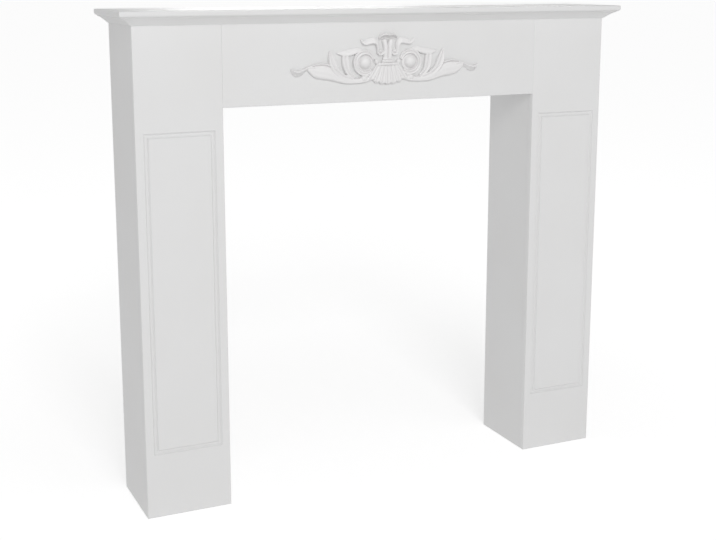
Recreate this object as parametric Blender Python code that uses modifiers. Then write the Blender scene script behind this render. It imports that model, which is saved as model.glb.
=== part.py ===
"""A painted fireplace mantelpiece: two box legs, a frieze, a moulded shelf and a carved ornament.

The origin is on the floor, midway across and midway from front to back. The front faces -Y.
"""

import math

import bmesh
import bpy
import numpy as np

# Overall sizes, in metres
OPENING_WIDTH = 0.700
OPENING_HEIGHT = 0.8135
LEG_WIDTH = 0.174
BODY_DEPTH = 0.177
FRIEZE_HEIGHT = 0.159
BOARD_THICKNESS = 0.015
ARRIS_RADIUS = 0.0015
ARRIS_SEGMENTS = 3
JOINT_GAP = 0.0003

# Shelf, and the ogee moulding that it rests on
SHELF_THICKNESS = 0.012
SHELF_OVERHANG = 0.028
NOSE_TOP_RADIUS = 0.0025
NOSE_FOOT_RADIUS = 0.0060
NOSE_SEGMENTS = 4
CROWN_HEIGHT = 0.0155
CROWN_FOOT = 0.0015
CROWN_STEPS = 8

# Handles of the ogee's curve: shares of the way out from its foot, and of its height
CROWN_CURVE = [(0.0, 0.04), (0.28, 0.30), (0.62, 0.76), (1.0, 0.94)]

# Milled rectangle on the front of each leg
GROOVE_WIDTH = 0.010
GROOVE_FLAT = 0.004
GROOVE_STEP = 0.0008
GROOVE_DEPTH = 0.0040
GROOVE_SIDE_MARGIN = 0.016
GROOVE_FOOT_MARGIN = 0.131
GROOVE_HEAD_MARGIN = 0.0425

# Carved ornament: its length, and how far its middle sits above the frieze's middle
ORNAMENT_LENGTH = 0.420
ORNAMENT_RAISE = 0.0035
CARVING_GRAIN = 0.0012
CARVING_FACETS = 0.062

SHARP_ANGLE = math.radians(35)

# Derived places
HALF_OPENING = OPENING_WIDTH / 2
HALF_BODY = HALF_OPENING + LEG_WIDTH
BACK = (BODY_DEPTH + SHELF_OVERHANG) / 2
FRONT = BACK - BODY_DEPTH
BEHIND_FRONT = FRONT + BOARD_THICKNESS + JOINT_GAP
CROWN_BOTTOM = OPENING_HEIGHT + FRIEZE_HEIGHT
SHELF_UNDERSIDE = CROWN_BOTTOM + CROWN_HEIGHT
BOARD_TOP = SHELF_UNDERSIDE - JOINT_GAP
CROWN_REACH = SHELF_OVERHANG - NOSE_FOOT_RADIUS

# The carving is laid out in parts of its length, 420 to the whole, from the middle of its foot
CARVING_PARTS = 420
CARVING_UNIT = ORNAMENT_LENGTH / CARVING_PARTS
CARVING_HEIGHT = 103
CARVING_SINK = 4.0
RELIEF_FULLNESS = 0.8

# Places along a leaf, scroll or stalk: across, up, half width, relief
LONG_LEAF = [
    (34, 17, 4.0, 6.0),
    (50, 13.0, 6.5, 8.5),
    (70, 10.5, 6.0, 7.5),
    (91, 13.0, 8.5, 8.0),
    (108, 19.0, 11.0, 8.5),
    (124, 26.5, 14.5, 9.0),
    (140, 31, 16.5, 9.0),
    (154, 32.5, 15.0, 8.5),
    (165, 35, 10.5, 7.5),
    (174, 38, 4.0, 6.5),
]
LEAF_TAIL = [
    (160, 37, 5.0, 7.0),
    (172, 38.5, 3.6, 6.5),
    (181, 34.5, 3.8, 8.0),
    (190, 30.0, 5.8, 12.0),
    (198, 28.5, 6.6, 14.5),
    (205, 31.5, 4.2, 12.0),
    (210, 37.5, 0.8, 5.0),
]
OUTER_LOBE = [
    (80, 12, 4.0, 6.0),
    (99, 20, 6.0, 8.0),
    (113, 32, 7.5, 9.5),
    (121, 46, 8.2, 9.5),
    (124.5, 58, 6.3, 8.5),
    (127.5, 71, 1.0, 6.0),
]
INNER_LOBE = [
    (75, 16, 4.0, 6.0),
    (87, 28, 6.5, 8.0),
    (92, 43, 8.8, 9.0),
    (94, 57, 8.0, 8.5),
    (97, 66, 3.0, 7.0),
]
TURNED_LOBE = [
    (54, 69, 4.0, 6.0),
    (66, 71.5, 4.8, 7.0),
    (76, 68.5, 6.2, 7.5),
    (88, 66, 6.8, 7.5),
    (100, 65.5, 5.4, 7.0),
    (112, 67, 1.2, 4.0),
]
PETAL = [
    (8.5, 69, 2.6, 7.0),
    (12.5, 62.8, 2.7, 7.5),
    (18, 62.2, 2.9, 8.0),
    (21.5, 67, 3.0, 8.5),
    (21.4, 76, 3.8, 9.0),
    (23.5, 84, 5.2, 9.5),
    (30, 89.2, 6.4, 10.0),
    (39, 88.5, 6.2, 9.5),
    (49, 85.5, 5.0, 9.0),
    (55.5, 87, 3.0, 7.5),
    (60, 93, 0.9, 5.0),
]
STEM_RIDGE = [
    (4.8, 52, 5.2, 8.5),
    (4.8, 68, 4.8, 9.5),
    (5.4, 80, 5.2, 9.5),
    (7.4, 88, 5.6, 8.5),
    (8.6, 92, 4.8, 7.0),
]
HOOD = [
    (-1.0, 96.0, 5.0, 15.0),
    (5.0, 97.4, 5.8, 16.0),
    (12.0, 97.4, 5.6, 15.5),
    (19.5, 93.0, 2.4, 10.0),
]

# The volute beside the fan: its eye, the radius and half width of its band, and where it runs
VOLUTE_EYE = (50.5, 46)
VOLUTE_RADIUS = 21.5
VOLUTE_TAPER = 2.0
VOLUTE_BAND = 5.4
VOLUTE_RELIEF = 9.0
VOLUTE_END_SHARE = 0.65
VOLUTE_START = math.radians(-132)
VOLUTE_END = math.radians(164)
BOSS_RADIUS = 13.0
BOSS_RELIEF = 15.0
DISH_RADIUS = 19.0
DISH_RELIEF = 5.0

# Small round beads: across, up, radius, relief
BEADS = [(16.3, 68.3, 3.7, 6.5), (24.5, 47.0, 5.2, 8.5), (53.0, 14.5, 6.5, 10.0), (33.0, 15.0, 5.0, 8.5)]

# Rings of the collar: up, half thickness, half length, relief, and how much of it is lost at the ends
COLLAR = [(53.2, 2.7, 11.0, 10.0), (47.8, 2.8, 12.5, 11.0), (42.2, 2.9, 25.0, 10.0)]
COLLAR_FALL = 0.25

# Flutes of the fan, counted from the middle one out to either side; fullness is half width over pitch
FLUTES_EACH_SIDE = 3
FLUTE_FULLNESS = 0.54
FAN_TOP, FAN_TOP_PITCH, FAN_TOP_RELIEF = 42.0, 6.8, 6.8
FAN_FOOT, FAN_FOOT_PITCH, FAN_FOOT_RELIEF = 4.5, 12.6, 9.0
FAN_FOOT_RISE = 1.0
FLUTE_TIP_DROP = 4.0
FLUTE_TIP_SHARE = 0.5

# How a section rises across its half widths, as shares of its relief, from the lower or outer edge
ROUND_SECTION = [
    (-1.0, 0.15),
    (-0.85, 0.62),
    (-0.45, 0.93),
    (0.0, 1.0),
    (0.45, 0.93),
    (0.85, 0.62),
    (1.0, 0.15),
]
TROUGH_SECTION = [
    (-1.0, 0.2),
    (-0.88, 0.72),
    (-0.66, 0.95),
    (-0.4, 0.84),
    (0.0, 0.62),
    (0.4, 0.84),
    (0.66, 0.95),
    (0.88, 0.72),
    (1.0, 0.2),
]
BLADE_SECTION = [
    (-1.0, 0.15),
    (-0.86, 0.72),
    (-0.5, 0.95),
    (0.1, 0.9),
    (0.5, 0.74),
    (0.74, 0.38),
    (0.86, 0.88),
    (0.94, 0.86),
    (1.0, 0.25),
]
LIPPED_SECTION = [
    (-1.0, 0.2),
    (-0.9, 0.66),
    (-0.72, 0.96),
    (-0.4, 1.0),
    (0.1, 0.82),
    (0.6, 0.5),
    (1.0, 0.12),
]
TURNED_DOWN_SECTION = [
    (-1.0, 0.1),
    (-0.6, 0.32),
    (0.0, 0.68),
    (0.4, 0.96),
    (0.6, 1.0),
    (0.85, 0.7),
    (1.0, 0.2),
]
HOLLOW_SECTION = [
    (-1.0, 0.1),
    (-0.5, 0.14),
    (0.05, 0.2),
    (0.38, 0.42),
    (0.55, 0.92),
    (0.72, 1.0),
    (0.9, 0.82),
    (1.0, 0.25),
]
SCALLOP_SECTION = [
    (-1.0, 0.55),
    (-0.8, 0.92),
    (-0.55, 0.96),
    (0.0, 0.74),
    (0.55, 0.96),
    (0.8, 0.92),
    (1.0, 0.55),
]


def clear_scene():
    for item in list(bpy.data.objects):
        bpy.data.objects.remove(item, do_unlink=True)


def make_collection(name):
    collection = bpy.data.collections.new(name)
    bpy.context.scene.collection.children.link(collection)
    return collection


def make_material(name, colour, roughness):
    """A painted surface: a Principled shader with an even colour, in linear values."""
    material = bpy.data.materials.new(name)
    material.use_nodes = True
    shader = material.node_tree.nodes["Principled BSDF"]
    shader.inputs["Base Color"].default_value = (*colour, 1.0)
    shader.inputs["Roughness"].default_value = roughness
    shader.inputs["Metallic"].default_value = 0.0
    return material


def add_object(name, mesh, collection, material=None):
    item = bpy.data.objects.new(name, mesh)
    collection.objects.link(item)
    if material:
        mesh.materials.append(material)
    return item


def mesh_from(bm, name):
    mesh = bpy.data.meshes.new(name)
    bmesh.ops.recalc_face_normals(bm, faces=bm.faces)
    bm.to_mesh(mesh)
    bm.free()
    return mesh


def box(low, high):
    """A box between two corners."""
    bm = bmesh.new()
    bmesh.ops.create_cube(bm, size=1.0)
    for vertex in bm.verts:
        for axis in range(3):
            vertex.co[axis] = low[axis] if vertex.co[axis] < 0 else high[axis]
    return bm


def round_edges(bm, chosen, radius, segments):
    """Rounds the edges whose two ends both answer to the rule."""
    edges = [edge for edge in bm.edges if all(chosen(vertex.co) for vertex in edge.verts)]
    bmesh.ops.bevel(bm, geom=edges, offset=radius, segments=segments, profile=0.5, affect="EDGES")


def shade_round(mesh):
    mesh.shade_smooth()
    mesh.set_sharp_from_angle(angle=SHARP_ANGLE)


def loft(bm, rings, closed=False):
    """Joins closed rings of points in order. The ends are capped, or the last ring meets the first."""
    made = [[bm.verts.new(point) for point in ring] for ring in rings]
    pairs = list(zip(made, made[1:]))
    if closed:
        pairs.append((made[-1], made[0]))
    for first, second in pairs:
        for index in range(len(first)):
            after = (index + 1) % len(first)
            bm.faces.new((first[index], first[after], second[after], second[index]))
    if not closed:
        bm.faces.new(made[0])
        bm.faces.new(reversed(made[-1]))


def smooth_path(places, count):
    """Rows on a smooth curve through the given rows of numbers."""
    rows = np.array(places, float)
    padded = np.vstack([2 * rows[0] - rows[1], rows, 2 * rows[-1] - rows[-2]])
    spans = len(rows) - 1
    path = []
    for place in np.linspace(0, spans, count):
        index = min(int(place), spans - 1)
        t = place - index
        before, start, end, after = padded[index : index + 4]
        linear = (end - before) * t
        square = (2 * before - 5 * start + 4 * end - after) * t**2
        cube = (3 * start - before - 3 * end + after) * t**3
        path.append(start + (linear + square + cube) / 2)
    return np.array(path)


def carve(bm, path, section, side):
    """A raised band along a path whose rows are across, up, half width and relief."""
    run = np.gradient(path[:, :2], axis=0)
    run /= np.linalg.norm(run, axis=1)[:, None]
    rings = []
    for (across, up, half_width, relief), (run_x, run_z) in zip(path, run):
        ring = []
        for share, rise in section:
            x = across - run_z * share * half_width
            z = up + run_x * share * half_width
            ring.append((side * x, -rise * relief, z))
        first, last = ring[0], ring[-1]
        ring.append((last[0], CARVING_SINK, last[2]))
        ring.append((first[0], CARVING_SINK, first[2]))
        rings.append(ring if side > 0 else ring[::-1])
    loft(bm, rings)


def carve_bead(bm, across, up, radius, relief, side):
    made = bmesh.ops.create_uvsphere(bm, u_segments=16, v_segments=10, radius=1.0)
    for vertex in made["verts"]:
        x, y, z = vertex.co
        vertex.co = (side * (across + radius * x), -relief * z, up + radius * y)


def volute_path(count):
    """The volute's band: it runs round the eye and closes in a little towards its end."""
    path = []
    for step in range(count):
        share = step / (count - 1)
        angle = VOLUTE_START + (VOLUTE_END - VOLUTE_START) * share
        radius = VOLUTE_RADIUS + VOLUTE_TAPER * (0.5 - share)
        fullness = VOLUTE_END_SHARE + (1 - VOLUTE_END_SHARE) * math.sin(math.pi * share)
        across = VOLUTE_EYE[0] + radius * math.cos(angle)
        up = VOLUTE_EYE[1] + radius * math.sin(angle)
        path.append((across, up, VOLUTE_BAND * fullness, VOLUTE_RELIEF * fullness))
    return np.array(path)


def flute_path(index, count):
    """One flute of the fan, from the collar down to the scalloped foot."""
    top = np.array((index * FAN_TOP_PITCH, FAN_TOP, FLUTE_FULLNESS * FAN_TOP_PITCH, FAN_TOP_RELIEF))
    foot_up = FAN_FOOT + FAN_FOOT_RISE * index**2
    foot = np.array((index * FAN_FOOT_PITCH, foot_up, FLUTE_FULLNESS * FAN_FOOT_PITCH, FAN_FOOT_RELIEF))
    tip = foot * (1, 1, FLUTE_TIP_SHARE, FLUTE_TIP_SHARE) - (0, FLUTE_TIP_DROP, 0, 0)
    return np.vstack([np.linspace(top, foot, count - 1), tip])


def ornament_mesh():
    """The whole relief, in carving units: a fan under a collar and a bud, with leaves to each side."""
    bm = bmesh.new()
    for side in (1, -1):
        carve(bm, smooth_path(LONG_LEAF, 26), BLADE_SECTION, side)
        carve(bm, smooth_path(LEAF_TAIL, 16), TURNED_DOWN_SECTION, side)
        carve(bm, smooth_path(OUTER_LOBE, 16), TROUGH_SECTION, side)
        carve(bm, smooth_path(INNER_LOBE, 14), TROUGH_SECTION, side)
        carve(bm, smooth_path(TURNED_LOBE, 16), LIPPED_SECTION, side)
        carve(bm, smooth_path(PETAL, 24), LIPPED_SECTION, side)
        carve(bm, smooth_path(STEM_RIDGE, 10), ROUND_SECTION, side)
        carve(bm, smooth_path(HOOD, 10), HOLLOW_SECTION, side)
        carve(bm, volute_path(26), TROUGH_SECTION, side)
        carve_bead(bm, *VOLUTE_EYE, DISH_RADIUS, DISH_RELIEF, side)
        carve_bead(bm, *VOLUTE_EYE, BOSS_RADIUS, BOSS_RELIEF, side)
        for bead in BEADS:
            carve_bead(bm, *bead, side)
    for index in range(-FLUTES_EACH_SIDE, FLUTES_EACH_SIDE + 1):
        carve(bm, flute_path(index, 8), SCALLOP_SECTION, 1)
    for up, half_thickness, half_length, relief in COLLAR:
        ring = [
            (share * half_length, up, half_thickness, relief * (1 - COLLAR_FALL * share**2))
            for share in (-1, 0, 1)
        ]
        carve(bm, smooth_path(ring, 8), ROUND_SECTION, 1)
    bmesh.ops.scale(bm, vec=(CARVING_UNIT, RELIEF_FULLNESS * CARVING_UNIT, CARVING_UNIT), verts=bm.verts)
    bmesh.ops.recalc_face_normals(bm, faces=bm.faces)
    return bm


def add_ornament(parts, cutters, material):
    """The carvings grown into one body, faceted, and cut flat where they meet the frieze."""
    foot = (OPENING_HEIGHT + FRIEZE_HEIGHT / 2) + ORNAMENT_RAISE - CARVING_HEIGHT * CARVING_UNIT / 2
    ornament = add_object("ornament", mesh_from(ornament_mesh(), "ornament"), parts, material)
    ornament.location = (0, FRONT - JOINT_GAP, foot)
    grow = ornament.modifiers.new("grow_together", "REMESH")
    grow.mode = "VOXEL"
    grow.voxel_size = CARVING_GRAIN
    facet = ornament.modifiers.new("facet", "DECIMATE")
    facet.ratio = CARVING_FACETS
    sink = 3 * CARVING_SINK * CARVING_UNIT
    reach = ORNAMENT_LENGTH
    behind = box((-reach, FRONT - JOINT_GAP, foot - reach), (reach, FRONT - JOINT_GAP + sink, foot + reach))
    cut_with(ornament, mesh_from(behind, "ornament_back_cutter"), cutters)


def cut_with(item, mesh, cutters):
    cutter = add_object(mesh.name, mesh, cutters)
    cutter.hide_render = True
    cutter.display_type = "WIRE"
    cut = item.modifiers.new("cut_" + mesh.name, "BOOLEAN")
    cut.operation = "DIFFERENCE"
    cut.solver = "EXACT"
    cut.object = cutter


def groove_mesh(name, middle):
    """The run of the milling cutter: a stepped groove round a rectangle, mitred at its corners."""
    low = GROOVE_FOOT_MARGIN
    high = OPENING_HEIGHT - GROOVE_HEAD_MARGIN
    half_width = LEG_WIDTH / 2 - GROOVE_SIDE_MARGIN
    half_height = (high - low) / 2
    slope = (GROOVE_WIDTH - GROOVE_FLAT) / 2
    section = [
        (0, -GROOVE_DEPTH),
        (0, GROOVE_STEP),
        (slope, GROOVE_DEPTH),
        (slope + GROOVE_FLAT, GROOVE_DEPTH),
        (GROOVE_WIDTH, GROOVE_STEP),
        (GROOVE_WIDTH, -GROOVE_DEPTH),
    ]
    rings = []
    for side, end in ((-1, -1), (1, -1), (1, 1), (-1, 1)):
        ring = []
        for inset, depth in section:
            across = middle + side * (half_width - inset)
            up = (low + high) / 2 + end * (half_height - inset)
            ring.append((across, FRONT + depth, up))
        rings.append(ring)
    bm = bmesh.new()
    loft(bm, rings, closed=True)
    return mesh_from(bm, name)


def add_leg(side, name, parts, cutters, material):
    """One leg: a full-width front board with two boards behind it, open towards the wall."""
    outer, inner = side * HALF_BODY, side * HALF_OPENING
    board = side * BOARD_THICKNESS
    front = box(
        (min(outer, inner), FRONT, 0),
        (max(outer, inner), FRONT + BOARD_THICKNESS, BOARD_TOP),
    )
    round_edges(front, lambda co: abs(co.y - FRONT) < JOINT_GAP, ARRIS_RADIUS, ARRIS_SEGMENTS)
    front_board = add_object(name + "_leg_front", mesh_from(front, name + "_leg_front"), parts, material)
    middle = (outer + inner) / 2
    cut_with(front_board, groove_mesh(name + "_groove_cutter", middle), cutters)
    for place, face, back in (("outer", outer, outer - board), ("inner", inner, inner + board)):
        low = (min(face, back), BEHIND_FRONT, 0)
        high = (max(face, back), BACK, BOARD_TOP)
        label = f"{name}_leg_{place}_side"
        add_object(label, mesh_from(box(low, high), label), parts, material)


def add_frieze(parts, material):
    reach = HALF_OPENING - JOINT_GAP
    frieze = box((-reach, FRONT, OPENING_HEIGHT), (reach, FRONT + BOARD_THICKNESS, BOARD_TOP))
    round_edges(
        frieze,
        lambda co: abs(co.y - FRONT) < JOINT_GAP and co.z < CROWN_BOTTOM,
        ARRIS_RADIUS,
        ARRIS_SEGMENTS,
    )
    add_object("frieze_board", mesh_from(frieze, "frieze_board"), parts, material)
    soffit = box((-reach, BEHIND_FRONT, OPENING_HEIGHT), (reach, BACK, OPENING_HEIGHT + BOARD_THICKNESS))
    add_object("lintel_soffit", mesh_from(soffit, "lintel_soffit"), parts, material)


def crown_section():
    """The ogee under the shelf, as distances out from the boards and up from the moulding's foot."""
    top = CROWN_HEIGHT - JOINT_GAP
    foot, reach = CROWN_FOOT, CROWN_REACH
    curve = np.array([(foot + (reach - foot) * out, top * up) for out, up in CROWN_CURVE])
    section = [(JOINT_GAP, 0.0), (foot, 0.0)]
    for step in range(CROWN_STEPS + 1):
        t = step / CROWN_STEPS
        weights = np.array([(1 - t) ** 3, 3 * t * (1 - t) ** 2, 3 * t**2 * (1 - t), t**3])
        section.append(tuple(weights @ curve))
    section.append((reach, top))
    section.append((JOINT_GAP, top))
    return section


def add_crown(parts, material):
    """Three strips of moulding, mitred where the front one meets the two returns."""
    section = crown_section()
    mitre = JOINT_GAP / math.sqrt(2)
    front = bmesh.new()
    rings = [
        [(side * (HALF_BODY + out - mitre), FRONT - out, CROWN_BOTTOM + up) for out, up in section]
        for side in (-1, 1)
    ]
    loft(front, rings)
    strips = [("crown_front", front)]
    for side, name in ((-1, "crown_left"), (1, "crown_right")):
        strip = bmesh.new()
        rings = [
            [(side * (HALF_BODY + out), FRONT - out + mitre, CROWN_BOTTOM + up) for out, up in section],
            [(side * (HALF_BODY + out), BACK, CROWN_BOTTOM + up) for out, up in section],
        ]
        loft(strip, rings)
        strips.append((name, strip))
    for name, bm in strips:
        mesh = mesh_from(bm, name)
        add_object(name, mesh, parts, material)
        shade_round(mesh)


def add_shelf(parts, material):
    """The top board. Its front and both ends are a nose, eased above and rounder below."""
    reach = HALF_BODY + SHELF_OVERHANG
    top = SHELF_UNDERSIDE + SHELF_THICKNESS
    shelf = box((-reach, FRONT - SHELF_OVERHANG, SHELF_UNDERSIDE), (reach, BACK, top))
    for height, radius in ((SHELF_UNDERSIDE, NOSE_FOOT_RADIUS), (top, NOSE_TOP_RADIUS)):
        nose = []
        for edge in shelf.edges:
            first, second = (vertex.co for vertex in edge.verts)
            level = max(abs(first.z - height), abs(second.z - height)) < JOINT_GAP
            if level and min(first.y, second.y) < BACK - JOINT_GAP:
                nose.append(edge)
        bmesh.ops.bevel(shelf, geom=nose, offset=radius, segments=NOSE_SEGMENTS, profile=0.5, affect="EDGES")
    mesh = mesh_from(shelf, "shelf_board")
    add_object("shelf_board", mesh, parts, material)
    shade_round(mesh)


def main():
    clear_scene()
    parts = make_collection("fireplace_mantelpiece")
    cutters = make_collection("cutters")
    cutters.hide_render = True
    paint = make_material("satin_white_painted_mdf", (0.78, 0.78, 0.78), 0.42)
    relief_paint = make_material("satin_white_painted_carving", (0.78, 0.77, 0.77), 0.48)
    for side, name in ((-1, "left"), (1, "right")):
        add_leg(side, name, parts, cutters, paint)
    add_frieze(parts, paint)
    add_crown(parts, paint)
    add_shelf(parts, paint)
    add_ornament(parts, cutters, relief_paint)


main()
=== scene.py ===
"""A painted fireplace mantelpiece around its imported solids: mouldings, carving, lacquer, light, camera."""

import math

import bmesh
import bpy
import numpy as np
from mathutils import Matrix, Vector


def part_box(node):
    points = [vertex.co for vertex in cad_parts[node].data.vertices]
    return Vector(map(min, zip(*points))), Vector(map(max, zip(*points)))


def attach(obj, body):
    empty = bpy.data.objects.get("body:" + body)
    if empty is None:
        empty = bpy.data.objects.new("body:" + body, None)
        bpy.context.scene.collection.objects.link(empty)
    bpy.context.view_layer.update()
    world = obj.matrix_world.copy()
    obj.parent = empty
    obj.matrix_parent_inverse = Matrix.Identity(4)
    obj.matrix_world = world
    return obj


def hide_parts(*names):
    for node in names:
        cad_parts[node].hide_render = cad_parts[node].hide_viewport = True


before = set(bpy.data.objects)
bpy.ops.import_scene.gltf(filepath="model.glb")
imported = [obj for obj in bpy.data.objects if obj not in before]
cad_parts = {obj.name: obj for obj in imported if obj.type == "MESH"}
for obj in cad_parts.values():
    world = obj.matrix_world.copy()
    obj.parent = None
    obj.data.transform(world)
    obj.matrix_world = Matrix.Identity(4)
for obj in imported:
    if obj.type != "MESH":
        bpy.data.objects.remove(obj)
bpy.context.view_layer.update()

MM = 0.001

# Places read from the solids
SHELF_LOW, SHELF_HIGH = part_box("shelf_board")
FRIEZE_LOW, FRIEZE_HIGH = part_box("frieze_board")
ORNAMENT_LOW, ORNAMENT_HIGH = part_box("ornament")
FRONT = FRIEZE_LOW.y

# Shelf nose and board arrises
NOSE_TOP_RADIUS = 2.5 * MM
NOSE_FOOT_RADIUS = 6.0 * MM
NOSE_SEGMENTS = 12
BACK_ARRIS = 0.6 * MM
SEAM_ARRIS = 0.4 * MM
FRIEZE_ARRIS = 1.0 * MM
LEG_ARRIS = 2.0 * MM
LEG_INNER_ARRIS = 0.6 * MM
ARRIS_SEGMENTS = 5

# The solids stand a little apart. Lacquer fills all of a joint but a slit too fine to see.
JOINT_SLIT = 0.02 * MM
JOINT_FILL = 0.3 * MM - JOINT_SLIT

# Ogee under the shelf: its foot, and its curve's handles as shares of the way out and up
CROWN_FOOT = 1.5 * MM
CROWN_STEPS = 28
CROWN_CURVE = [(0.0, 0.04), (0.28, 0.30), (0.62, 0.76), (1.0, 0.94)]

# Milled rectangle on the front of each leg, and its lips' curve in shares of a lip: across, and inwards
GROOVE_WIDTH = 10.0 * MM
GROOVE_FLAT = 4.0 * MM
GROOVE_STEP = 0.8 * MM
GROOVE_DEPTH = 4.0 * MM
GROOVE_SIDE_MARGIN = 16.0 * MM
GROOVE_FOOT_MARGIN = 131.0 * MM
GROOVE_HEAD_MARGIN = 42.5 * MM
GROOVE_LIP = 0.5 * MM
LIP_CURVE = [(-1.0, -1.0), (-0.3, 0.15), (0.0, 0.5)]

# The sharpest bend between two faces that is still shaded as one curve
BOARD_BEND = math.radians(30)
NOSE_BEND = math.radians(40)
CARVING_BEND = math.radians(60)

# The carving is laid out in parts of its length, from the middle of its foot
ORNAMENT_LENGTH = 420 * MM
CARVING_PARTS = 420
CARVING_UNIT = ORNAMENT_LENGTH / CARVING_PARTS
CARVING_SINK = 4.0
RELIEF_FULLNESS = 0.8
CARVING_GRAIN = 0.8 * MM
EASE_SHARE = 0.5
EASE_ROUNDS = 2

# Camera, fitted to the mantelpiece's edges in the photograph
EYE = (-1.088, -2.3108, 1.0621)
YAW = math.radians(24.592)
PITCH = math.radians(11.135)
LENS = 61.30
SENSOR = 36.0
SHIFT_Y = -0.075

# Colours as sRGB
LACQUER_WHITE = "E6E6E6"
LACQUER_THIN = "DEDCDA"
CARVING_WHITE = "DEDDDD"
# Painted shade: the greyer, faintly pink white that darkens the carving's hollows
CARVING_PAINTED_SHADE = "C4C0C1"
STUDIO_FLOOR = "F4F4F4"
WHITE = (1, 1, 1, 1)

# Lacquer: broad patches where it lies thinner. Orange peel is 1 to 2 mm across, and is drawn coarser so
# that it shows.
PAINT_IOR = 1.5
PATCH_SIZE = 180 * MM
PATCH_STARTS, PATCH_FULL, PATCH_MOST = 0.35, 0.75, 0.22
SHEEN_STARTS, SHEEN_FULL = 0.3, 0.7
SHEEN_SMOOTHER, SHEEN_ROUGHER = 0.03, 0.04
BOARD_ROUGHNESS, BOARD_PEEL, BOARD_PEEL_DEPTH = 0.40, 4.0 * MM, 0.005 * MM
MILLED_ROUGHNESS, MILLED_PEEL, MILLED_PEEL_DEPTH = 0.46, 2.5 * MM, 0.01 * MM
PEEL_STRENGTH = 0.35

# Pulp carving: how deep a hollow is before it is darkened as painted shade, and how much. Its fibres are
# about 0.3 mm across, and are drawn coarser so that they show.
PAINTED_SHADE_STARTS, PAINTED_SHADE_FULL, PAINTED_SHADE_MOST = 0.50, 0.44, 0.85
CARVING_ROUGHNESS = 0.5
FIBRE_SIZE = 1.6 * MM
FIBRE_DEPTH = 0.08 * MM
FIBRE_STRENGTH = 0.3

# Light: a pale room, a soft key from the front and a little left, a softbox overhead, a glow behind, and
# a small softbox that rakes the carving from above
ROOM_SEEN = 1.0
WALL_LIGHT = 0.713
CEILING_LIGHT = 0.401
CEILING_START = 0.35
CEILING_FULL = 0.75
FLOOR_GLOW = 0.158
FLOOR_SEEN = 0.42
FLOOR_SEEN_FAR = 0.52
FLOOR_NEAR = 0.3
FLOOR_FAR = 2.0
FLOOR_RADIUS = 60.0
FLOOR_SIDES = 96
FLOOR_ROUGHNESS = 0.9
KEY_POWER = 76.5
KEY_SIZE = (2.0, 1.4)
KEY_PLACE = (-0.95, -4.6, 3.2)
KEY_AIM = (0.0, 0.0, 0.75)
OVERHEAD_POWER = 0.211
OVERHEAD_SIZE = (1.02, 0.2)
OVERHEAD_PLACE = (0.0, -0.01, 2.2)
OVERHEAD_AIM = (0.0, -0.01, 0.0)
OVERHEAD_SPREAD = math.radians(8)
GLOW_POWER = 15.2
GLOW_SIZE = (1.45, 1.6)
GLOW_PLACE = (1.48, 4.2, 1.65)
GLOW_AIM = (1.48, 0.0, 1.3)
RAKE_POWER = 11.0
RAKE_SIZE = (0.5, 0.3)
RAKE_PLACE = (-0.4, -1.6, 2.75)
RAKE_AIM = (0.0, -0.08, 0.9)

# Places along a leaf, scroll or stalk of the carving: across, up, half width, relief
LONG_LEAF = [
    (34, 17, 4.0, 6.0),
    (50, 13.0, 6.5, 8.5),
    (70, 10.5, 6.0, 7.5),
    (91, 13.0, 8.5, 8.0),
    (108, 19.0, 11.0, 8.5),
    (124, 26.5, 14.5, 9.0),
    (140, 31, 16.5, 9.0),
    (154, 32.5, 15.0, 8.5),
    (165, 35, 10.5, 7.5),
    (174, 38, 4.0, 6.5),
]
LEAF_TAIL = [
    (160, 37, 5.0, 7.0),
    (172, 38.5, 3.6, 6.5),
    (181, 34.5, 3.8, 8.0),
    (190, 30.0, 5.8, 12.0),
    (198, 28.5, 6.6, 14.5),
    (205, 31.5, 4.2, 12.0),
    (210, 37.5, 0.8, 5.0),
]
OUTER_LOBE = [
    (80, 12, 4.0, 6.0),
    (99, 20, 6.0, 8.0),
    (113, 32, 7.5, 9.5),
    (121, 46, 8.2, 9.5),
    (124.5, 58, 6.3, 8.5),
    (127.5, 71, 1.0, 6.0),
]
INNER_LOBE = [
    (75, 16, 4.0, 6.0),
    (87, 28, 6.5, 8.0),
    (92, 43, 8.8, 9.0),
    (94, 57, 8.0, 8.5),
    (97, 66, 3.0, 7.0),
]
TURNED_LOBE = [
    (54, 69, 4.0, 6.0),
    (66, 71.5, 4.8, 7.0),
    (76, 68.5, 6.2, 7.5),
    (88, 66, 6.8, 7.5),
    (100, 65.5, 5.4, 7.0),
    (112, 67, 1.2, 4.0),
]
PETAL = [
    (8.5, 69, 2.6, 7.0),
    (12.5, 62.8, 2.7, 7.5),
    (18, 62.2, 2.9, 8.0),
    (21.5, 67, 3.0, 8.5),
    (21.4, 76, 3.8, 9.0),
    (23.5, 84, 5.2, 9.5),
    (30, 89.2, 6.4, 10.0),
    (39, 88.5, 6.2, 9.5),
    (49, 85.5, 5.0, 9.0),
    (55.5, 87, 3.0, 7.5),
    (60, 93, 0.9, 5.0),
]
STEM_RIDGE = [
    (4.8, 52, 5.2, 8.5),
    (4.8, 68, 4.8, 9.5),
    (5.4, 80, 5.2, 9.5),
    (7.4, 88, 5.6, 8.5),
    (8.6, 92, 4.8, 7.0),
]
HOOD = [
    (-1.0, 96.0, 5.0, 15.0),
    (5.0, 97.4, 5.8, 16.0),
    (12.0, 97.4, 5.6, 15.5),
    (19.5, 93.0, 2.4, 10.0),
]

# The volute beside the fan: its eye, the radius and half width of its band, and where it runs
VOLUTE_EYE = (50.5, 46)
VOLUTE_RADIUS = 21.5
VOLUTE_TAPER = 2.0
VOLUTE_BAND = 5.4
VOLUTE_RELIEF = 9.0
VOLUTE_END_SHARE = 0.65
VOLUTE_START = math.radians(-132)
VOLUTE_END = math.radians(164)
BOSS_RADIUS = 13.0
BOSS_RELIEF = 15.0
DISH_RADIUS = 19.0
DISH_RELIEF = 5.0

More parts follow.
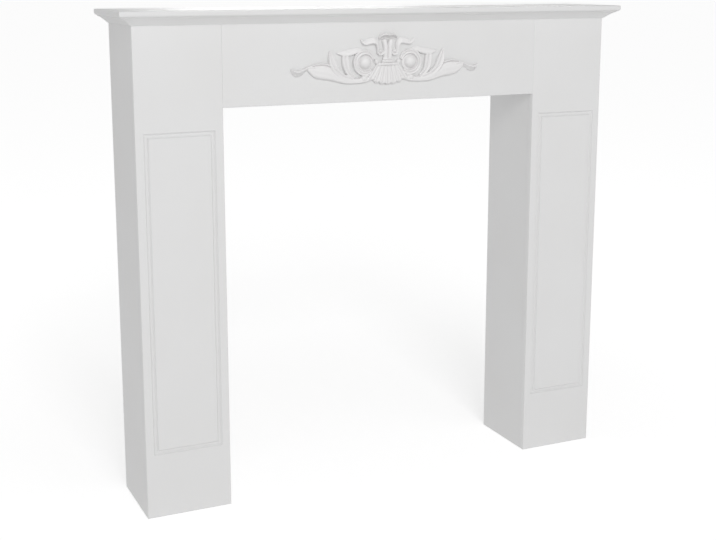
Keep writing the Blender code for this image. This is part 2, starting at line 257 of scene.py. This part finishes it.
# Small round beads: across, up, radius, relief
BEADS = [(16.3, 68.3, 3.7, 6.5), (24.5, 47.0, 5.2, 8.5), (53.0, 14.5, 6.5, 10.0), (33.0, 15.0, 5.0, 8.5)]

# Rings of the collar: up, half thickness, half length, relief, and how much of it is lost at the ends
COLLAR = [(53.2, 2.7, 11.0, 10.0), (47.8, 2.8, 12.5, 11.0), (42.2, 2.9, 25.0, 10.0)]
COLLAR_FALL = 0.25

# Flutes of the fan, counted from the middle one out to either side; fullness is half width over pitch
FLUTES_EACH_SIDE = 3
FLUTE_FULLNESS = 0.54
FAN_TOP, FAN_TOP_PITCH, FAN_TOP_RELIEF = 42.0, 6.8, 6.8
FAN_FOOT, FAN_FOOT_PITCH, FAN_FOOT_RELIEF = 4.5, 12.6, 9.0
FAN_FOOT_RISE = 1.0
FLUTE_TIP_DROP = 4.0
FLUTE_TIP_SHARE = 0.5

# How a section rises across its half widths, as shares of its relief, from the lower or outer edge
ROUND_SECTION = [
    (-1.0, 0.15),
    (-0.85, 0.62),
    (-0.45, 0.93),
    (0.0, 1.0),
    (0.45, 0.93),
    (0.85, 0.62),
    (1.0, 0.15),
]
TROUGH_SECTION = [
    (-1.0, 0.2),
    (-0.88, 0.72),
    (-0.66, 0.95),
    (-0.4, 0.84),
    (0.0, 0.62),
    (0.4, 0.84),
    (0.66, 0.95),
    (0.88, 0.72),
    (1.0, 0.2),
]
BLADE_SECTION = [
    (-1.0, 0.15),
    (-0.86, 0.72),
    (-0.5, 0.95),
    (0.1, 0.9),
    (0.5, 0.74),
    (0.74, 0.38),
    (0.86, 0.88),
    (0.94, 0.86),
    (1.0, 0.25),
]
LIPPED_SECTION = [
    (-1.0, 0.2),
    (-0.9, 0.66),
    (-0.72, 0.96),
    (-0.4, 1.0),
    (0.1, 0.82),
    (0.6, 0.5),
    (1.0, 0.12),
]
TURNED_DOWN_SECTION = [
    (-1.0, 0.1),
    (-0.6, 0.32),
    (0.0, 0.68),
    (0.4, 0.96),
    (0.6, 1.0),
    (0.85, 0.7),
    (1.0, 0.2),
]
HOLLOW_SECTION = [
    (-1.0, 0.1),
    (-0.5, 0.14),
    (0.05, 0.2),
    (0.38, 0.42),
    (0.55, 0.92),
    (0.72, 1.0),
    (0.9, 0.82),
    (1.0, 0.25),
]
SCALLOP_SECTION = [
    (-1.0, 0.55),
    (-0.8, 0.92),
    (-0.55, 0.96),
    (0.0, 0.74),
    (0.55, 0.96),
    (0.8, 0.92),
    (1.0, 0.55),
]
SECTION_POINTS = 41
SECTION_READINGS = 8 * SECTION_POINTS
LEAF_VEINS = 3
VEIN_DEPTH = 0.07
LEAST_RISE = 0.1
BEAD_ROUND, BEAD_UP = 48, 32
VOLUTE_POINTS = 110
FLUTE_POINTS = 24
RING_POINTS = 40


def linear(colour):
    """A colour written as sRGB hex, as linear values with full opacity."""
    values = [int(colour[place : place + 2], 16) / 255 for place in (0, 2, 4)]
    return (*[v / 12.92 if v <= 0.04045 else ((v + 0.055) / 1.055) ** 2.4 for v in values], 1.0)


def add_node(tree, kind, inputs=None, **settings):
    """A node with its settings. Each input takes a value, or a link where it is given a socket."""
    node = tree.nodes.new(kind)
    for name, value in settings.items():
        setattr(node, name, value)
    for place, value in (inputs or {}).items():
        if isinstance(value, bpy.types.NodeSocket):
            tree.links.new(value, node.inputs[place])
        else:
            node.inputs[place].default_value = value
    return node


def new_material(name):
    material = bpy.data.materials.new(name)
    material.use_nodes = True
    return material, material.node_tree, material.node_tree.nodes["Principled BSDF"]


def carried(value, start, end, low, high):
    """The inputs that carry a value from one range to another."""
    return {"Value": value, "From Min": start, "From Max": end, "To Min": low, "To Max": high}


def satin_lacquer(name, roughness, peel_size, peel_depth):
    """Satin polyurethane lacquer sprayed on board. The spray leaves a faint orange peel that breaks up
    reflections, and the film lies a little thinner in broad, very faint patches."""
    material, tree, shader = new_material(name)
    place = add_node(tree, "ShaderNodeTexCoord").outputs["Object"]
    patches = add_node(
        tree, "ShaderNodeTexNoise", {"Vector": place, "Scale": 1 / PATCH_SIZE, "Detail": 2.0}
    ).outputs["Fac"]
    thin = add_node(
        tree, "ShaderNodeMapRange", carried(patches, PATCH_STARTS, PATCH_FULL, 0.0, PATCH_MOST)
    )
    smooth, rough = roughness - SHEEN_SMOOTHER, roughness + SHEEN_ROUGHER
    sheen = add_node(
        tree, "ShaderNodeMapRange", carried(patches, SHEEN_STARTS, SHEEN_FULL, smooth, rough)
    )
    colours = {0: thin.outputs["Result"], "A": linear(LACQUER_WHITE), "B": linear(LACQUER_THIN)}
    tint = add_node(tree, "ShaderNodeMix", colours, data_type="RGBA")
    peel = add_node(tree, "ShaderNodeTexNoise", {"Vector": place, "Scale": 1 / peel_size, "Detail": 1.5})
    bump = add_node(
        tree,
        "ShaderNodeBump",
        {"Height": peel.outputs["Fac"], "Strength": PEEL_STRENGTH, "Distance": peel_depth},
    )
    tree.links.new(tint.outputs["Result"], shader.inputs["Base Color"])
    tree.links.new(sheen.outputs["Result"], shader.inputs["Roughness"])
    tree.links.new(bump.outputs["Normal"], shader.inputs["Normal"])
    shader.inputs["IOR"].default_value = PAINT_IOR
    return material


def lacquered_mdf():
    """Medium-density fibreboard, sanded and sprayed: flat, even faces with no grain."""
    return satin_lacquer("satin_lacquered_mdf", BOARD_ROUGHNESS, BOARD_PEEL, BOARD_PEEL_DEPTH)


def lacquered_moulding():
    """The same lacquer on milled board edges, where the cutter's marks drink it and leave it less smooth."""
    return satin_lacquer("satin_lacquered_milled_mdf", MILLED_ROUGHNESS, MILLED_PEEL, MILLED_PEEL_DEPTH)


def painted_relief():
    """Pressed wood-pulp carving under white paint. Its hollows are darkened with painted shade, and the
    pressed fibres show faintly."""
    material, tree, shader = new_material("satin_painted_wood_pulp_carving")
    place = add_node(tree, "ShaderNodeTexCoord").outputs["Object"]
    point = add_node(tree, "ShaderNodeNewGeometry").outputs["Pointiness"]
    # Painted shade: the hollows, found by their pointiness, are darkened towards a greyer white
    painted_shade = add_node(
        tree, "ShaderNodeMapRange", carried(point, PAINTED_SHADE_STARTS, PAINTED_SHADE_FULL, 0.0, PAINTED_SHADE_MOST)
    )
    colours = {0: painted_shade.outputs["Result"], "A": linear(CARVING_WHITE), "B": linear(CARVING_PAINTED_SHADE)}
    tint = add_node(tree, "ShaderNodeMix", colours, data_type="RGBA")
    fibres = add_node(tree, "ShaderNodeTexNoise", {"Vector": place, "Scale": 1 / FIBRE_SIZE, "Detail": 3.0})
    bump = add_node(
        tree,
        "ShaderNodeBump",
        {"Height": fibres.outputs["Fac"], "Strength": FIBRE_STRENGTH, "Distance": FIBRE_DEPTH},
    )
    tree.links.new(tint.outputs["Result"], shader.inputs["Base Color"])
    tree.links.new(bump.outputs["Normal"], shader.inputs["Normal"])
    shader.inputs["Roughness"].default_value = CARVING_ROUGHNESS
    shader.inputs["IOR"].default_value = PAINT_IOR
    return material


def seen_or_given(tree, kind, seen, given):
    """White light of one strength where it is looked at, and of another where it falls on things."""
    looked_at = add_node(tree, "ShaderNodeLightPath").outputs["Is Camera Ray"]
    falls = add_node(tree, kind, {"Color": WHITE, "Strength": given}).outputs[0]
    shows = add_node(tree, kind, {"Color": WHITE, "Strength": seen}).outputs[0]
    return add_node(tree, "ShaderNodeMixShader", {0: looked_at, 1: falls, 2: shows}).outputs[0]


def studio_floor():
    """A matt white studio floor that glows like a light table, so that it stays pale with a soft shadow. The
    glow that is seen rises outwards as the key light's pool fades, which keeps the floor one even white."""
    material, tree, shader = new_material("matt_white_studio_floor")
    shader.inputs["Base Color"].default_value = linear(STUDIO_FLOOR)
    shader.inputs["Roughness"].default_value = FLOOR_ROUGHNESS
    shader.inputs["Specular IOR Level"].default_value = 0.0
    place = add_node(tree, "ShaderNodeTexCoord").outputs["Object"]
    away = add_node(tree, "ShaderNodeVectorMath", {0: place}, operation="LENGTH").outputs["Value"]
    seen = add_node(
        tree,
        "ShaderNodeMapRange",
        carried(away, FLOOR_NEAR, FLOOR_FAR, FLOOR_SEEN, FLOOR_SEEN_FAR),
        interpolation_type="SMOOTHSTEP",
    )
    glow = seen_or_given(tree, "ShaderNodeEmission", seen.outputs["Result"], FLOOR_GLOW)
    both = add_node(tree, "ShaderNodeAddShader", {0: shader.outputs[0], 1: glow})
    tree.links.new(both.outputs[0], tree.nodes["Material Output"].inputs["Surface"])
    return material


def mesh_from(bm, name):
    mesh = bpy.data.meshes.new(name)
    bm.to_mesh(mesh)
    bm.free()
    return mesh


def shade_round(mesh, bend):
    mesh.shade_smooth()
    mesh.set_sharp_from_angle(angle=bend)


def add_piece(name, bm, material, replaced, bend=None):
    """A finished piece in the scene, riding on the one body and standing for its solid."""
    bmesh.ops.recalc_face_normals(bm, faces=bm.faces)
    mesh = mesh_from(bm, name)
    mesh.materials.append(material)
    if bend:
        shade_round(mesh, bend)
    piece = bpy.data.objects.new(name, mesh)
    bpy.context.scene.collection.objects.link(piece)
    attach(piece, "root")
    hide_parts(replaced)
    return piece


def box(low, high):
    bm = bmesh.new()
    bmesh.ops.create_cube(bm, size=1.0)
    for vertex in bm.verts:
        for axis in range(3):
            vertex.co[axis] = low[axis] if vertex.co[axis] < 0 else high[axis]
    return bm


def bevel_edges(bm, chosen, radius, segments):
    """Rounds the edges that answer to the rule, which is given both ends."""
    edges = [edge for edge in bm.edges if chosen(*(vertex.co for vertex in edge.verts))]
    bmesh.ops.bevel(bm, geom=edges, offset=radius, segments=segments, profile=0.5, affect="EDGES")


def loft(bm, rings, closed=False):
    """Joins closed rings of points in order. The ends are capped, or the last ring meets the first."""
    made = [[bm.verts.new(point) for point in ring] for ring in rings]
    pairs = list(zip(made, made[1:]))
    if closed:
        pairs.append((made[-1], made[0]))
    for first, second in pairs:
        for index in range(len(first)):
            after = (index + 1) % len(first)
            bm.faces.new((first[index], first[after], second[after], second[index]))
    if not closed:
        bm.faces.new(made[0])
        bm.faces.new(reversed(made[-1]))


def on_front(first, second):
    return max(first.y, second.y) < FRONT + BACK_ARRIS


def make_shelf(material):
    """The mantelshelf: a board whose front and ends are worked to a nose, eased above and rounder below."""
    bm = box(SHELF_LOW, SHELF_HIGH)
    back = SHELF_HIGH.y - BACK_ARRIS
    for height, radius in ((SHELF_LOW.z, NOSE_FOOT_RADIUS), (SHELF_HIGH.z, NOSE_TOP_RADIUS)):

        def on_nose(first, second):
            level = max(abs(first.z - height), abs(second.z - height)) < BACK_ARRIS
            return level and min(first.y, second.y) < back

        bevel_edges(bm, on_nose, radius, NOSE_SEGMENTS)
    add_piece("mantelshelf", bm, material, "shelf_board", NOSE_BEND)


def make_frieze(material):
    """The board between the legs. The lacquer fills its end joints, whose eased arrises leave a fine line."""
    reach = Vector((JOINT_FILL, 0, 0))
    bm = box(FRIEZE_LOW - reach, FRIEZE_HIGH + reach)

    def on_ends(first, second):
        return on_front(first, second) and abs(first.x - second.x) < BACK_ARRIS

    def on_foot(first, second):
        return on_front(first, second) and max(first.z, second.z) < FRIEZE_LOW.z + LEG_ARRIS

    bevel_edges(bm, on_ends, SEAM_ARRIS, ARRIS_SEGMENTS)
    bevel_edges(bm, on_foot, FRIEZE_ARRIS, ARRIS_SEGMENTS)
    add_piece("frieze", bm, material, "frieze_board", BOARD_BEND)


def crown_section(reach, height):
    """The ogee under the shelf, as distances out from the boards and up from its foot."""
    curve = np.array([(CROWN_FOOT + (reach - CROWN_FOOT) * out, height * up) for out, up in CROWN_CURVE])
    section = [(JOINT_SLIT, 0.0), (CROWN_FOOT, 0.0)]
    for t in np.linspace(0, 1, CROWN_STEPS + 1):
        weights = np.array([(1 - t) ** 3, 3 * t * (1 - t) ** 2, 3 * t**2 * (1 - t), t**3])
        section.append(tuple(weights @ curve))
    section.append((reach, height + JOINT_FILL))
    section.append((JOINT_SLIT, height + JOINT_FILL))
    return section


def make_crown(material):
    """Three strips of moulding, mitred where the front one meets the two returns."""
    low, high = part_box("crown_front")
    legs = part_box("left_leg_front")[0].x
    reach = FRONT - low.y
    section = crown_section(reach, high.z - low.z)
    mitre = JOINT_SLIT / math.sqrt(2)
    front = bmesh.new()
    rings = [
        [(side * (-legs + out - mitre), FRONT - out, low.z + up) for out, up in section]
        for side in (-1, 1)
    ]
    loft(front, rings)
    add_piece("crown_moulding_front", front, material, "crown_front", BOARD_BEND)
    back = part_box("crown_left")[1].y
    for side, name in ((-1, "left"), (1, "right")):
        strip = bmesh.new()
        near = [(side * (-legs + out), FRONT - out + mitre, low.z + up) for out, up in section]
        far = [(x, back, z) for x, y, z in near]
        loft(strip, [near, far])
        label = "crown_moulding_" + name
        add_piece(label, strip, material, "crown_" + name, BOARD_BEND)


def groove_cutter(low, high):
    """The run of the milling cutter round a leg's panel: a stepped groove with softened lips."""
    middle = Vector(((low.x + high.x) / 2, 0, (GROOVE_FOOT_MARGIN + FRIEZE_LOW.z - GROOVE_HEAD_MARGIN) / 2))
    half_width = (high.x - low.x) / 2 - GROOVE_SIDE_MARGIN
    half_height = middle.z - GROOVE_FOOT_MARGIN
    slope = (GROOVE_WIDTH - GROOVE_FLAT) / 2
    lip = [(GROOVE_LIP * across, GROOVE_LIP * depth) for across, depth in LIP_CURVE]
    floor = [
        (0, GROOVE_STEP),
        (slope, GROOVE_DEPTH),
        (slope + GROOVE_FLAT, GROOVE_DEPTH),
        (GROOVE_WIDTH, GROOVE_STEP),
    ]
    section = lip + floor + [(GROOVE_WIDTH - across, depth) for across, depth in reversed(lip)]
    bm = bmesh.new()
    rings = []
    for side, end in ((-1, -1), (1, -1), (1, 1), (-1, 1)):
        ring = []
        for inset, depth in section:
            across = middle.x + side * (half_width - inset)
            up = middle.z + end * (half_height - inset)
            ring.append((across, FRONT + depth, up))
        rings.append(ring)
    loft(bm, rings, closed=True)
    bmesh.ops.recalc_face_normals(bm, faces=bm.faces)
    return mesh_from(bm, "groove_cutter")


def make_leg_front(side, board_material, milled_material):
    """A leg's front board: eased arrises, and the milled rectangle, whose faces are left less smooth."""
    node = side + "_leg_front"
    low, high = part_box(node)
    bm = box(low, high)
    outer = low.x if side == "left" else high.x

    def on_outer_upright(first, second):
        return on_front(first, second) and max(abs(first.x - outer), abs(second.x - outer)) < BACK_ARRIS

    def on_the_rest(first, second):
        upright = abs(first.x - second.x) < BACK_ARRIS
        return on_front(first, second) and not (upright and abs(first.x - outer) < 2 * LEG_ARRIS)

    bevel_edges(bm, on_outer_upright, LEG_ARRIS, ARRIS_SEGMENTS)
    bevel_edges(bm, on_the_rest, LEG_INNER_ARRIS, ARRIS_SEGMENTS)
    piece = add_piece(side + "_leg_board", bm, board_material, node, BOARD_BEND)
    piece.data.materials.append(milled_material)
    cutter_mesh = groove_cutter(low, high)
    cutter_mesh.materials.append(board_material)
    cutter_mesh.materials.append(milled_material)
    for polygon in cutter_mesh.polygons:
        polygon.material_index = 1
    cutter = bpy.data.objects.new("groove_cutter_" + side, cutter_mesh)
    bpy.context.scene.collection.objects.link(cutter)
    cut = piece.modifiers.new("milled_groove", "BOOLEAN")
    cut.operation = "DIFFERENCE"
    cut.solver = "EXACT"
    cut.object = cutter
    settle(piece)
    bpy.data.objects.remove(cutter)
    shade_round(piece.data, BOARD_BEND)


def settle(piece):
    """Puts the result of a piece's modifiers into its own mesh."""
    shown = piece.evaluated_get(bpy.context.evaluated_depsgraph_get())
    mesh = bpy.data.meshes.new_from_object(shown)
    piece.modifiers.clear()
    piece.data = mesh


def smooth_path(places, count):
    """Rows on a smooth curve through the given rows of numbers."""
    rows = np.array(places, float)
    padded = np.vstack([2 * rows[0] - rows[1], rows, 2 * rows[-1] - rows[-2]])
    spans = len(rows) - 1
    path = []
    for place in np.linspace(0, spans, count):
        index = min(int(place), spans - 1)
        t = place - index
        before, start, end, after = padded[index : index + 4]
        line = (end - before) * t
        square = (2 * before - 5 * start + 4 * end - after) * t**2
        cube = (3 * start - before - 3 * end + after) * t**3
        path.append(start + (line + square + cube) / 2)
    return np.array(path)


def fine_section(section, veins=0, depth=0.0):
    """A section with its corners smoothed, and shallow veins across its middle."""
    shares = np.linspace(-1, 1, SECTION_POINTS)
    rows = smooth_path(section, SECTION_READINGS)
    rises = np.interp(shares, rows[:, 0], rows[:, 1])
    if veins:
        rises = rises - depth * (0.5 - 0.5 * np.cos(shares * math.pi * veins)) * (1 - shares**4)
    return list(zip(shares, np.clip(rises, LEAST_RISE, None)))


def carve(bm, path, section, side):
    """A raised band along a path whose rows are across, up, half width and relief."""
    run = np.gradient(path[:, :2], axis=0)
    run /= np.linalg.norm(run, axis=1)[:, None]
    rings = []
    for (across, up, half_width, relief), (run_x, run_z) in zip(path, run):
        ring = []
        for share, rise in section:
            x = across - run_z * share * half_width
            z = up + run_x * share * half_width
            ring.append((side * x, -rise * relief, z))
        first, last = ring[0], ring[-1]
        ring.append((last[0], CARVING_SINK, last[2]))
        ring.append((first[0], CARVING_SINK, first[2]))
        rings.append(ring if side > 0 else ring[::-1])
    loft(bm, rings)


def carve_bead(bm, across, up, radius, relief, side):
    made = bmesh.ops.create_uvsphere(bm, u_segments=BEAD_ROUND, v_segments=BEAD_UP, radius=1.0)
    for vertex in made["verts"]:
        x, y, z = vertex.co
        vertex.co = (side * (across + radius * x), -relief * z, up + radius * y)


def volute_path(count):
    """The volute's band: it runs round the eye and closes in a little towards its end."""
    path = []
    for share in np.linspace(0, 1, count):
        angle = VOLUTE_START + (VOLUTE_END - VOLUTE_START) * share
        radius = VOLUTE_RADIUS + VOLUTE_TAPER * (0.5 - share)
        fullness = VOLUTE_END_SHARE + (1 - VOLUTE_END_SHARE) * math.sin(math.pi * share)
        across = VOLUTE_EYE[0] + radius * math.cos(angle)
        up = VOLUTE_EYE[1] + radius * math.sin(angle)
        path.append((across, up, VOLUTE_BAND * fullness, VOLUTE_RELIEF * fullness))
    return np.array(path)


def flute_path(index, count):
    """One flute of the fan, from the collar down to the scalloped foot."""
    top = np.array((index * FAN_TOP_PITCH, FAN_TOP, FLUTE_FULLNESS * FAN_TOP_PITCH, FAN_TOP_RELIEF))
    foot_up = FAN_FOOT + FAN_FOOT_RISE * index**2
    foot = np.array((index * FAN_FOOT_PITCH, foot_up, FLUTE_FULLNESS * FAN_FOOT_PITCH, FAN_FOOT_RELIEF))
    tip = foot * (1, 1, FLUTE_TIP_SHARE, FLUTE_TIP_SHARE) - (0, FLUTE_TIP_DROP, 0, 0)
    return np.vstack([np.linspace(top, foot, count - 1), tip])


def carved_bands():
    """The whole relief, in carving units: a fan under a collar and a bud, with leaves to each side."""
    bm = bmesh.new()
    trough = fine_section(TROUGH_SECTION)
    lipped = fine_section(LIPPED_SECTION)
    rounded = fine_section(ROUND_SECTION)
    bands = [
        (smooth_path(LONG_LEAF, 90), fine_section(BLADE_SECTION, LEAF_VEINS, VEIN_DEPTH)),
        (smooth_path(LEAF_TAIL, 60), fine_section(TURNED_DOWN_SECTION)),
        (smooth_path(OUTER_LOBE, 60), trough),
        (smooth_path(INNER_LOBE, 50), trough),
        (smooth_path(TURNED_LOBE, 60), lipped),
        (smooth_path(PETAL, 90), lipped),
        (smooth_path(STEM_RIDGE, 40), rounded),
        (smooth_path(HOOD, 40), fine_section(HOLLOW_SECTION)),
        (volute_path(VOLUTE_POINTS), trough),
    ]
    for side in (1, -1):
        for path, section in bands:
            carve(bm, path, section, side)
        carve_bead(bm, *VOLUTE_EYE, DISH_RADIUS, DISH_RELIEF, side)
        carve_bead(bm, *VOLUTE_EYE, BOSS_RADIUS, BOSS_RELIEF, side)
        for bead in BEADS:
            carve_bead(bm, *bead, side)
    for index in range(-FLUTES_EACH_SIDE, FLUTES_EACH_SIDE + 1):
        carve(bm, flute_path(index, FLUTE_POINTS), fine_section(SCALLOP_SECTION), 1)
    for up, half_thickness, half_length, relief in COLLAR:
        ring = [
            (share * half_length, up, half_thickness, relief * (1 - COLLAR_FALL * share**2))
            for share in (-1, 0, 1)
        ]
        carve(bm, smooth_path(ring, RING_POINTS), rounded, 1)
    bmesh.ops.scale(bm, vec=(CARVING_UNIT, RELIEF_FULLNESS * CARVING_UNIT, CARVING_UNIT), verts=bm.verts)
    bmesh.ops.translate(bm, vec=(0, ORNAMENT_HIGH.y, ORNAMENT_LOW.z), verts=bm.verts)
    return bm


def make_ornament(material):
    """The carvings grown into one body, smoothed as pressed pulp is, and flat where it meets the frieze."""
    piece = add_piece("carved_ornament", carved_bands(), material, "ornament")
    grow = piece.modifiers.new("grow_together", "REMESH")
    grow.mode = "VOXEL"
    grow.voxel_size = CARVING_GRAIN
    ease = piece.modifiers.new("ease", "SMOOTH")
    ease.factor = EASE_SHARE
    ease.iterations = EASE_ROUNDS
    settle(piece)
    bm = bmesh.new()
    bm.from_mesh(piece.data)
    cut = bmesh.ops.bisect_plane(
        bm,
        geom=bm.verts[:] + bm.edges[:] + bm.faces[:],
        plane_co=(0, ORNAMENT_HIGH.y, 0),
        plane_no=(0, 1, 0),
        clear_outer=True,
    )
    rim = [item for item in cut["geom_cut"] if isinstance(item, bmesh.types.BMEdge)]
    bmesh.ops.triangle_fill(bm, edges=rim, use_beauty=True)
    bmesh.ops.recalc_face_normals(bm, faces=bm.faces)
    bm.to_mesh(piece.data)
    bm.free()
    shade_round(piece.data, CARVING_BEND)
    return piece


def dress_solids(material):
    """The plain boards keep their solids and take the lacquer."""
    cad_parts["lintel_soffit"].material_slots[0].material = material
    for side in ("left", "right"):
        for place in ("outer", "inner"):
            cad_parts[f"{side}_leg_{place}_side"].material_slots[0].material = material


def add_area_light(name, place, aim, size, power, spread=math.pi, flagged_off=None, kept_on=None):
    """A softbox. Flags, as a studio has, may keep its light off one thing, or on one thing alone."""
    light = bpy.data.lights.new(name, "AREA")
    light.shape = "RECTANGLE"
    light.size, light.size_y = size
    light.energy = power
    light.spread = spread
    holder = bpy.data.objects.new(name, light)
    holder.location = place
    holder.rotation_euler = (Vector(aim) - Vector(place)).to_track_quat("-Z", "Y").to_euler()
    holder.visible_camera = False
    bpy.context.scene.collection.objects.link(holder)
    if flagged_off or kept_on:
        flag = bpy.data.collections.new(name + "_flag")
        flag.objects.link(flagged_off or kept_on)
        flag.collection_objects[0].light_linking.link_state = "EXCLUDE" if flagged_off else "INCLUDE"
        holder.light_linking.receiver_collection = flag


def light_studio(floor, carving):
    """A pale room with walls brighter than its ceiling. What it gives the object is softer than the white
    that is seen behind it."""
    world = bpy.data.worlds.new("pale_studio")
    bpy.context.scene.world = world
    world.use_nodes = True
    tree = world.node_tree
    tree.nodes.clear()
    way = add_node(tree, "ShaderNodeTexCoord").outputs["Generated"]
    height = add_node(tree, "ShaderNodeSeparateXYZ", {0: way}).outputs["Z"]
    given = add_node(
        tree,
        "ShaderNodeMapRange",
        carried(height, CEILING_START, CEILING_FULL, WALL_LIGHT, CEILING_LIGHT),
        interpolation_type="SMOOTHSTEP",
    )
    room = seen_or_given(tree, "ShaderNodeBackground", ROOM_SEEN, given.outputs["Result"])
    add_node(tree, "ShaderNodeOutputWorld", {"Surface": room})
    add_area_light("key", KEY_PLACE, KEY_AIM, KEY_SIZE, KEY_POWER)
    add_area_light(
        "overhead", OVERHEAD_PLACE, OVERHEAD_AIM, OVERHEAD_SIZE, OVERHEAD_POWER, OVERHEAD_SPREAD, floor
    )
    add_area_light("shelf_glow", GLOW_PLACE, GLOW_AIM, GLOW_SIZE, GLOW_POWER, flagged_off=floor)
    add_area_light("carving_rake", RAKE_PLACE, RAKE_AIM, RAKE_SIZE, RAKE_POWER, kept_on=carving)
    bpy.context.scene.view_settings.view_transform = "Standard"


def lay_floor():
    bm = bmesh.new()
    bmesh.ops.create_circle(bm, cap_ends=True, segments=FLOOR_SIDES, radius=FLOOR_RADIUS)
    mesh = mesh_from(bm, "studio_floor")
    mesh.materials.append(studio_floor())
    floor = bpy.data.objects.new("studio_floor", mesh)
    bpy.context.scene.collection.objects.link(floor)
    return floor


def set_camera():
    """The photograph's view: from the front and left, a little above the shelf."""
    camera = bpy.data.objects.new("camera", bpy.data.cameras.new("camera"))
    camera.location = EYE
    camera.rotation_euler = (math.pi / 2 - PITCH, 0, -YAW)
    camera.data.lens = LENS
    camera.data.sensor_width = SENSOR
    camera.data.shift_y = SHIFT_Y
    camera.data.clip_end = 4 * FLOOR_RADIUS
    bpy.context.scene.collection.objects.link(camera)
    bpy.context.scene.camera = camera


def main():
    board = lacquered_mdf()
    milled = lacquered_moulding()
    set_camera()
    dress_solids(board)
    make_shelf(board)
    make_frieze(board)
    make_crown(milled)
    for side in ("left", "right"):
        make_leg_front(side, board, milled)
    carving = make_ornament(painted_relief())
    light_studio(lay_floor(), carving)


main()
